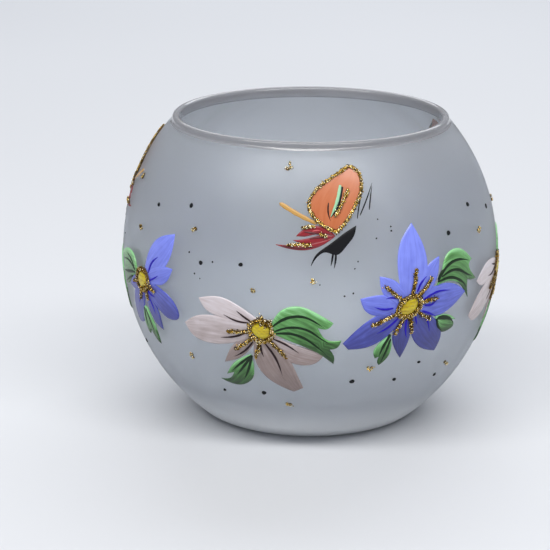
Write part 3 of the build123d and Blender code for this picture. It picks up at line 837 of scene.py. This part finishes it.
WHITE_BLOSSOM = {
    "petals": [
        [[(0, 2.5), (-5, 5.6), (-11, 7.5), (-16.9, 6)], [(-15, 3.5), (-8, 1.7), (-2, -0.5)]],
        [[(-2, 1.5), (-12, 2.3), (-18, 0.8), (-21.3, -1.9)],
         [(-19.2, -4.8), (-13.8, -5.9), (-7.5, -4.5), (-1.5, -2)]],
        [[(-2.5, -1), (-7.6, -5), (-10.5, -10.8)], [(-6.6, -9), (-1.5, -3.5)]],
        [[(-1.5, -2), (-2.3, -7.5), (0.6, -14), (6.9, -18.3)],
         [(9.4, -17)], [(7.9, -11.2), (5, -4.5), (2, -1.5)]],
        [[(2, -1), (8.5, -3.7), (13.2, -5.6), (15.1, -6.9)], [(13.2, -9), (8.3, -9.4), (2, -4)]],
        [[(2, 1.5), (7.4, 3.4), (10.6, 2.4), (13.2, 0.4)], [(9.8, -1.6), (5.5, -2), (2, -1.5)]],
    ],
    "leaves": [
        [[(2.6, 2), (5.2, 5.7), (9, 6.8), (13.6, 5), (17.7, 2)], [(16.2, 0.5), (14, 0.9)],
         [(16, -2.4), (19.4, -2.9)], [(18.2, -5), (16.6, -5.3)], [(17.5, -7.6), (17.2, -9.7)],
         [(13.9, -6.3), (9.5, -3.7), (3.2, -0.9)]],
        [[(-3, -7), (-7.9, -10.5), (-10.3, -14.6)], [(-8.2, -13.6)], [(-9.6, -15.8), (-12.3, -16.5)],
         [(-7, -17.5), (-3.4, -14.9), (-2.5, -10)]],
    ],
    "rays": [(-8.9, -1.3), (-6.9, -5.9), (-1.7, -7.8), (5.8, -7), (2.6, 3), (0.2, 3.9)],
    "veins": [
        [(-2.5, 2.2), (-4.2, 3.2), (-6.2, 4.6)], [(-3.3, 1.8), (-6.2, 1.9), (-9.7, 3.1)],
        [(-3.8, -0.9), (-7, -2.5), (-10.8, -3.4)], [(-2.2, -3.3), (-4.5, -6.2), (-7.5, -8.4)],
        [(-0.3, -3.5), (-0.2, -5.4), (0.3, -7.4)], [(0.8, -3.3), (3.2, -7.3), (4.6, -12.8)],
        [(3, -2), (6, -3.4), (9.2, -5.9)],
    ],
    "leaf_veins": [
        [(3, 1.4), (5, 3), (8, 4.2), (11, 4), (13.5, 2.6), (15.6, 0.9)],
        [(3.5, 0.1), (6, 1.1), (9, 1.3), (12, 0.3), (14.5, -1.8), (17.2, -3.8)],
        [(3.5, -0.5), (7, -0.3), (10, -1.2), (13, -3.5), (15.7, -6.6)],
        [(-3, -7.4), (-5.6, -9.8), (-8.6, -13)], [(-2.9, -7.6), (-5.2, -11), (-7.4, -14.2)],
        [(-2.8, -7.6), (-3.8, -11.2), (-5.6, -15.4)],
    ],
    "centre": (2.5, 2.3, 0),
}

# ---------------- butterfly pattern
UPPER_WING = [[(0.4, 0.5), (2.9, 3.2), (5.6, 7.6), (7.1, 13.2), (5.9, 16), (4, 16.7), (0, 14.1),
               (-4.2, 11), (-6.1, 7.2), (-3.8, 3), (0.4, 0.5)]]
LOWER_WING = [
    [[(0.2, -0.4), (-1.8, 1.5), (-4.2, 2.3), (-7, 1.9), (-9.6, -0.1)], [(-7.4, -0.3)], [(-3.6, 0.4)]],
    [[(0.2, -0.4), (-3, 0), (-7.2, -0.8), (-10.4, -1)], [(-8, -2), (-4, -2)]],
    [[(0.2, -0.4), (-3.6, -1.5), (-8, -2.2), (-11.4, -2.2), (-15.2, -1.7)],
     [(-12, -2.9), (-8.2, -3.6), (-4, -2.9), (0.2, -0.4)]],
]
BODY = [[(5.4, 2.2), (4.9, 0), (2.6, -3.1), (0.2, -5), (-2.6, -4.3), (-4.4, -5.3), (-6.4, -8.3)],
        [(-4.9, -4.9), (-1.6, -2.4), (2.2, 0.3), (5.4, 2.2)]]
LEGS = [[(-0.6, -4.4), (-0.8, -5.8), (-1.2, -7.6)], [(0.1, -4.4), (0, -6), (-0.4, -8.2)]]
ANTENNAE = [[(5.7, 3.9), (6.4, 7.6), (7.7, 11.8)], [(6.4, 4.6), (8.2, 8.4), (9.9, 12.6)],
            [(8.8, 6), (9.2, 8.6), (9.8, 11.8)]]
WING_STRIPE = [(2.3, 11.6), (1.6, 8.8), (0.4, 5.8), (-0.9, 4.2)]
MINT_STROKE = [(1.8, 12), (1, 8.6), (-0.9, 4.4)]
WING_CREASE = [(-1.3, 7.8), (-1.5, 5.5), (-1, 3.3)]
WING_SHADES = [[(-12.8, -2.3), (-8, -3.1), (-3.4, -2.4)], [(-7.4, 0.9), (-4.6, 0.4), (-1.6, 0.2)],
               [(-6.2, -0.9), (-4, -0.6), (-1.8, -0.9)]]
WING_LIGHTS = [[(-10.6, -2.3), (-8.4, -2.7), (-6.2, -2.4)], [(-5.6, 0.9), (-4.4, 1.1), (-3.2, 0.9)]]
OCHRE_STROKE = [(-12.8, 8), (-8.6, 5.1), (-4.6, 2.9)]
WING_GLITTER = [(3.6, 10.9), (2.5, 8.5), (0.2, 4.4)]
LOWER_GLITTER = [[(-8, 2), (-6.5, 2.1), (-5, 2.1)], [(-3.6, 0.2), (-2.8, -0.2), (-2.1, -0.6)],
                 [(-11.4, -2.1), (-8.8, -2.2), (-6, -2.4)]]

# ---------------- where everything lies
# name: pattern, colour of the petals, angle round the bowl, height, tilt
FLOWERS = {
    "blue_flower_1": (BLUE_STAR, "blue", 29.8, 40.7, 0),
    "white_flower_2": (WHITE_BLOSSOM, "white", 80, 41.5, 18),
    "blue_flower_3": (BLUE_BELL, "blue", 126, 41, -3),
    "white_flower_4": (WHITE_BLOSSOM, "white", 170.5, 38.5, 3),
    "blue_flower_5": (BLUE_BELL, "blue", -145, 41, 4),
    "white_flower_6": (WHITE_BLOSSOM, "white", -101.5, 37.5, 0),
    "blue_flower_7": (BLUE_BELL, "blue", -58.4, 42, 0),
    "white_flower_8": (WHITE_BLOSSOM, "white", -13.8, 35.6, 0),
}
BUTTERFLIES = {
    "butterfly_1": (7.5, 60, 0, False),
    "butterfly_2": (120, 61.5, -4, True),
    "butterfly_3": (-94, 60, 0, True),
}
# angle round the bowl, height
BLACK_DOTS = [
    (-55, 62), (-40, 64), (-33, 51), (-20, 52), (-30, 16), (-15, 17), (14, 21), (29, 20), (37, 24),
    (48, 18), (46, 57), (59, 62), (73, 59), (98, 62), (104, 15), (107, 58), (138, 19), (152, 16),
    (166, 63), (-176, 57), (-162, 19), (-152, 62), (-135, 58), (-129, 20), (-122, 63), (-108, 15),
    (-84, 17), (-70, 22),
]
SPECKS = [
    (32, 56), (29, 52.6), (30, 52.5), (21, 63), (25, 61), (25, 60), (20, 58.6), (14, 53.4), (13, 51.7),
    (12.5, 45.6), (10, 45), (3, 48), (-29, 51.7), (-35, 48), (-33, 47), (-37.5, 53), (73, 58.7),
    (104, 55), (140, 61), (158, 50), (178, 60), (-168, 52), (-128, 52), (-115, 50), (-78, 50),
]
GLITTER_DOTS = [
    (-37, 59), (-16, 46), (1, 49), (-7, 75), (-39, 25), (-7, 14), (19.5, 25), (62.5, 55), (52, 21),
    (-62, 55), (90, 58), (113, 22), (158, 21), (170, 53), (-167, 25), (-140, 60), (-117, 24), (-74, 66),
]

# Each enamel's tones run dark to light; the span covers the paint's own colour and its painted shade and
# painted light.
PAINTS = {
    "blue": enamel("blue_enamel", [(38, 40, 104), (62, 68, 158), (104, 116, 222), (140, 154, 255)]),
    "white": enamel("white_enamel", [(122, 104, 100), (162, 144, 140), (212, 200, 202), (232, 227, 234)]),
    "leaf": enamel("green_enamel", [(12, 38, 10), (46, 96, 34), (96, 162, 86), (150, 214, 150)], 0.45),
    "yellow": enamel("yellow_enamel", [(112, 88, 4), (176, 146, 6), (208, 188, 18), (224, 208, 44)], 0.6),
    "black": enamel("black_enamel", [(4, 4, 8), (10, 10, 16), (20, 20, 30)], 0.3, (0.42, 0.55), coat=0.0),
    "orange": enamel("orange_enamel", [(172, 84, 44), (194, 108, 64), (208, 128, 86)], 0.3),
    "red": enamel("red_enamel", [(84, 14, 24), (150, 34, 44), (196, 78, 84)], 0.4),
    "mint": enamel("mint_enamel", [(120, 186, 138), (154, 210, 168), (184, 228, 194)], 0.3),
    "ochre": enamel("ochre_enamel", [(170, 122, 52), (200, 154, 80), (218, 176, 104)], 0.3),
    "vein_blue": line_enamel("vein_blue_enamel", [(18, 4, 124), (32, 8, 184), (56, 34, 220)]),
    "vein_brown": line_enamel("vein_brown_enamel", [(24, 8, 10), (40, 16, 20), (62, 32, 34)]),
    "vein_green": line_enamel("vein_green_enamel", [(4, 24, 6), (10, 42, 12), (22, 70, 24)]),
    "glue": glue(),
    "flakes": gold_flakes(),
}


def paint_flower(name, pattern, colour, angle, height, tilt):
    """Petals with veins, leaves with veins, a glitter star and a yellow middle."""
    spot = Spot(angle, height, tilt)
    petals = Paint()
    for order, outline in enumerate(pattern["petals"]):
        tone = 0.55 + rng.uniform(-0.05, 0.05)
        # Painted light: petals that point up, and the tops of petals, are painted lighter; those below
        # darker.
        petals.dab(spot, outline, PETAL_RISE, 0, lift=order * STACK, tone=tone, lean=0.34, painted_top_light=0.12)
    top = PETAL_RISE + len(pattern["petals"]) * STACK
    for vein in pattern["veins"]:
        petals.line(spot, vein, rng.uniform(0.5, 0.68), VEIN_RISE, 1, top)
    veins = "vein_blue" if colour == "blue" else "vein_brown"
    petals.finish(f"{name}_petals", f"{colour}_enamel", colour, veins)

    leaves = Paint()
    for outline in pattern["leaves"]:
        # Painted light: leaves lighter towards their tops, with a painted highlight along their upper edges.
        leaves.dab(spot, outline, LEAF_RISE, 0, lift=top * 0.5, tone=0.44, painted_top_light=0.34, edge=0.26)
    for vein in pattern["leaf_veins"]:
        leaves.line(spot, vein, rng.uniform(0.65, 0.95), VEIN_RISE, 1, LEAF_RISE + top * 0.5)
    leaves.finish(f"{name}_leaves", "green_enamel", "leaf", "vein_green")

    glitter = Paint()
    wide, tall, turn = pattern["centre"]
    turn = math.radians(turn)
    ring = [
        ((wide + RING_GAP) * math.cos(a) * math.cos(turn) - (tall + RING_GAP) * math.sin(a) * math.sin(turn),
         (wide + RING_GAP) * math.cos(a) * math.sin(turn) + (tall + RING_GAP) * math.sin(a) * math.cos(turn))
        for a in np.radians(range(0, 361, 30))
    ]
    for ray in pattern["rays"]:
        bend = (ray[0] * 0.6 + rng.uniform(-0.25, 0.25), ray[1] * 0.6 + rng.uniform(-0.25, 0.25))
        start = (ray[0] * 0.3, ray[1] * 0.3)
        glitter.glitter_line(spot, [start, bend, ray], GLITTER_WIDTH * 1.15, top, dark=0.55)
    glitter.glitter_line(spot, ring, GLITTER_WIDTH * 1.5, top, dark=0.5)
    glitter.finish(f"{name}_glitter", "gold_glitter", "glue", "flakes")

    centre = Paint()
    centre.dome(spot, (0, 0), (wide, tall), CENTRE_RISE, 0.6, lumps=0.10, turn=turn, rings=14, sides=40)
    centre.finish(f"{name}_centre", "yellow_enamel", "yellow")


def paint_butterfly(name, angle, height, tilt, mirrored):
    """Wings, body, legs, antennae, accent strokes and a glitter outline."""
    spot = Spot(angle, height, tilt, mirrored)
    upper = Paint()
    # Painted light: lean lightens the upward-pointing wing.
    upper.dab(spot, UPPER_WING, WING_RISE, 0, tone=0.5, start=(0.4, 0.5), lean=0.1)
    upper.line(spot, WING_CREASE, 0.42, LINE_RISE, 1, WING_RISE)
    upper.finish(f"{name}_upper_wing", "orange_enamel", "orange", "vein_brown")

    lower = Paint()
    for order, outline in enumerate(LOWER_WING):
        lower.dab(spot, outline, WING_RISE, 0, lift=order * STACK, tone=0.45, start=(0.2, -0.4))
    for shade in WING_SHADES:
        lower.line(spot, shade, 0.5, LINE_RISE, 0, WING_RISE, tone=0.0)
    for light in WING_LIGHTS:
        lower.line(spot, light, 0.45, LINE_RISE, 0, WING_RISE, tone=1.2)
    lower.finish(f"{name}_lower_wing", "red_enamel", "red")

    body = Paint()
    body.dab(spot, BODY, LINE_RISE, 0, tone=0.5, start=(5.4, 2.2))
    for leg in LEGS:
        body.line(spot, leg, 0.5, LINE_RISE, 0, 0, taper=(0.1, 0.9))
    for antenna in ANTENNAE:
        body.line(spot, antenna, 0.34, LINE_RISE, 0, 0, taper=(0.5, 0.8))
    body.line(spot, WING_STRIPE, 0.75, LINE_RISE, 0, WING_RISE, taper=(0.3, 0.8))
    body.finish(f"{name}_body", "black_enamel", "black")

    mint = Paint()
    mint.line(spot, MINT_STROKE, 0.95, LINE_RISE * 1.2, 0, WING_RISE, taper=(0.3, 0.8))
    mint.finish(f"{name}_mint_stroke", "mint_enamel", "mint")

    ochre = Paint()
    ochre.line(spot, OCHRE_STROKE, 1.15, LINE_RISE * 1.2, 0, 0, taper=(0.1, 0.3))
    ochre.finish(f"{name}_ochre_stroke", "ochre_enamel", "ochre")

    glitter = Paint()
    for line in (UPPER_WING[0][:6], UPPER_WING[0][5:], WING_GLITTER, *LOWER_GLITTER):
        glitter.glitter_line(spot, line, GLITTER_WIDTH, WING_RISE, dark=0.28, painted_glint_share=0.25)
    glitter.finish(f"{name}_glitter", "gold_glitter", "glue", "flakes")


def paint_dots():
    """Black drops with tiny specks among them, and small heaps of glitter."""
    black = Paint()
    for angle, height in BLACK_DOTS:
        radius = BLACK_DOT_RADIUS * rng.uniform(0.85, 1.2)
        radii = (radius, radius * rng.uniform(0.75, 1))
        black.dome(Spot(angle, height), (0, 0), radii, BLACK_DOT_RISE, turn=rng.uniform(0, 3))
    for angle, height in SPECKS:
        radius = rng.uniform(0.18, 0.28)
        black.dome(Spot(angle, height), (0, 0), (radius, radius), SPECK_RISE, rings=4, sides=12)
    black.finish("black_dots", "black_enamel", "black")

    glitter = Paint()
    for angle, height in GLITTER_DOTS:
        spot = Spot(angle, height)
        lobes = rng.normal(0, GLITTER_DOT_RADIUS * 0.4, (3, 2))
        for lobe in lobes:
            radius = GLITTER_DOT_RADIUS * rng.uniform(0.4, 0.6)
            glitter.dome(spot, tuple(lobe), (radius, radius), GLUE_RISE, rings=4, sides=14)
            places = lobe + rng.normal(0, radius * 0.55, (DOT_FLAKES, 2))
            rise = GLUE_RISE + rng.uniform(-0.1, 0.1, DOT_FLAKES)
            glitter.flakes(spot, places, rise, dark=0.2, painted_glint_share=0.5)
    glitter.finish("glitter_dots", "gold_glitter", "glue", "flakes")


def add_floor():
    shader = Shader("floor", Roughness=0.7)
    tint = shader.noise(shader.object_place(), 2.5, detail=1)
    shader.set("Base Color", shader.ramp(tint, [(0.2, srgb(206, 208, 212)), (0.8, srgb(212, 214, 218))]))
    corners = [(FLOOR_HALF * x, FLOOR_HALF * y, 0) for x, y in ((-1, -1), (1, -1), (1, 1), (-1, 1))]
    mesh = new_mesh("floor", corners, [(0, 1, 2, 3)], [0], [shader.material])
    mesh.update()
    floor = add_object(mesh)


add_camera()
scene.view_settings.view_transform = "Standard"
add_world((0.80, 0.83, 0.90), 0.32)
add_softbox("key", -4, 61.5, 1.1, (1.9, 0.24), 15.5, (1.0, 0.99, 0.97))
add_softbox("back", 172, 42, 1.4, (1.4, 0.9), 11, (0.95, 0.97, 1.0))
add_floor()
blow_bowl()
for flower, place in FLOWERS.items():
    paint_flower(flower, *place)
for butterfly, place in BUTTERFLIES.items():
    paint_butterfly(butterfly, *place)
paint_dots()
